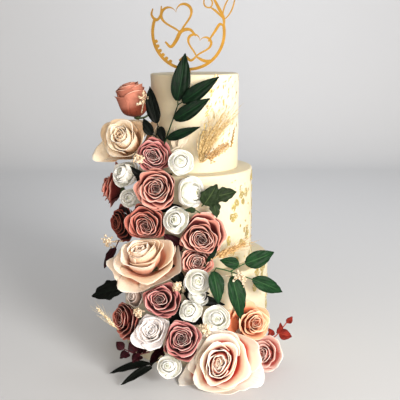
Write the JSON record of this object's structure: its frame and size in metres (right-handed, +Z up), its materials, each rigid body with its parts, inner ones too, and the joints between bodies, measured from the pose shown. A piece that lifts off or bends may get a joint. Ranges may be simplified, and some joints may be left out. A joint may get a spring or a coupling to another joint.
{
  "type": "tiered wedding cake",
  "caption": "Tall iced cake of round tiers with gold leaf flakes, a cascade of fabric roses and leaves down the front left, and a round gold topper.",
  "frame": {"origin": "centre of the bottom tier's flat base, on the surface the cake stands on", "axes": "+Z up along the tiers' common axis; the decorated front faces -Y, with the flower cascade towards -X"},
  "size_m": [0.3266, 0.3288, 0.609],
  "materials": {
    "icing": "satin",
    "gold": "polished",
    "white_petal": "matte",
    "cream_petal": "matte",
    "salmon_petal": "matte",
    "terracotta_petal": "matte",
    "mauve_petal": "matte",
    "apricot_petal": "matte",
    "greige_petal": "matte",
    "green_leaf": "waxed",
    "dark_leaf": "waxed",
    "burgundy_leaf": "matte",
    "red_bud": "matte",
    "pale_leaf": "dry",
    "straw": "dry",
    "seed_head": "dry"
  },
  "bodies": {
    "root": {"tier_bottom": "icing", "tier_middle": "icing", "tier_top": "icing", "topper": "gold", "rose_salmon_bud": "salmon_petal", "rose_cream_upper": "cream_petal", "rose_mauve_upper": "mauve_petal", "ranunculus_white_1": "white_petal", "rose_white_upper": "white_petal", "rose_white_small": "white_petal", "rose_salmon_upper": "salmon_petal", "ranunculus_white_2": "white_petal", "rose_terracotta_side": "terracotta_petal", "rose_russet": "terracotta_petal", "rose_terracotta_middle": "terracotta_petal", "ranunculus_white_3": "white_petal", "rose_salmon_middle": "salmon_petal", "rose_peach_middle": "cream_petal", "rose_pink_small": "salmon_petal", "ranunculus_white_4": "white_petal", "rose_mauve_middle": "mauve_petal", "blossom_white": "white_petal", "ranunculus_white_5": "white_petal", "ranunculus_white_6": "white_petal", "blossom_greige": "greige_petal", "rose_terracotta_lower": "terracotta_petal", "peony_white": "white_petal", "rose_mauve_lower": "mauve_petal", "rose_white_lower": "white_petal", "rose_cream_lower": "cream_petal", "rose_apricot": "apricot_petal", "rose_pink_lower": "mauve_petal", "ruscus_upper": "green_leaf", "dark_sprig_upper": "dark_leaf", "ivy_middle": "green_leaf", "ruscus_lower": "green_leaf", "dark_leaf_left": "dark_leaf", "dark_sprig_lower": "dark_leaf", "burgundy_leaf_left": "burgundy_leaf", "burgundy_leaf_middle": "burgundy_leaf", "burgundy_sprig": "burgundy_leaf", "red_bud_sprig": "red_bud", "bleached_leaves": "pale_leaf", "ivy_small": "green_leaf", "narrow_leaf": "green_leaf", "golden_grass": "straw", "gold_seedhead": "seed_head", "wheat_ear": "straw", "pale_wheat": "pale_leaf", "gold_twig": "gold", "dried_spray_1": "seed_head", "dried_spray_2": "seed_head", "dried_spray_3": "seed_head", "dried_spray_4": "seed_head", "dried_spray_5": "seed_head", "dried_spray_6": "seed_head", "dried_spray_7": "seed_head", "backing_leaves_upper": "dark_leaf", "backing_leaves_middle": "dark_leaf", "backing_leaves_lower": "burgundy_leaf"}
  },
  "joints": []
}
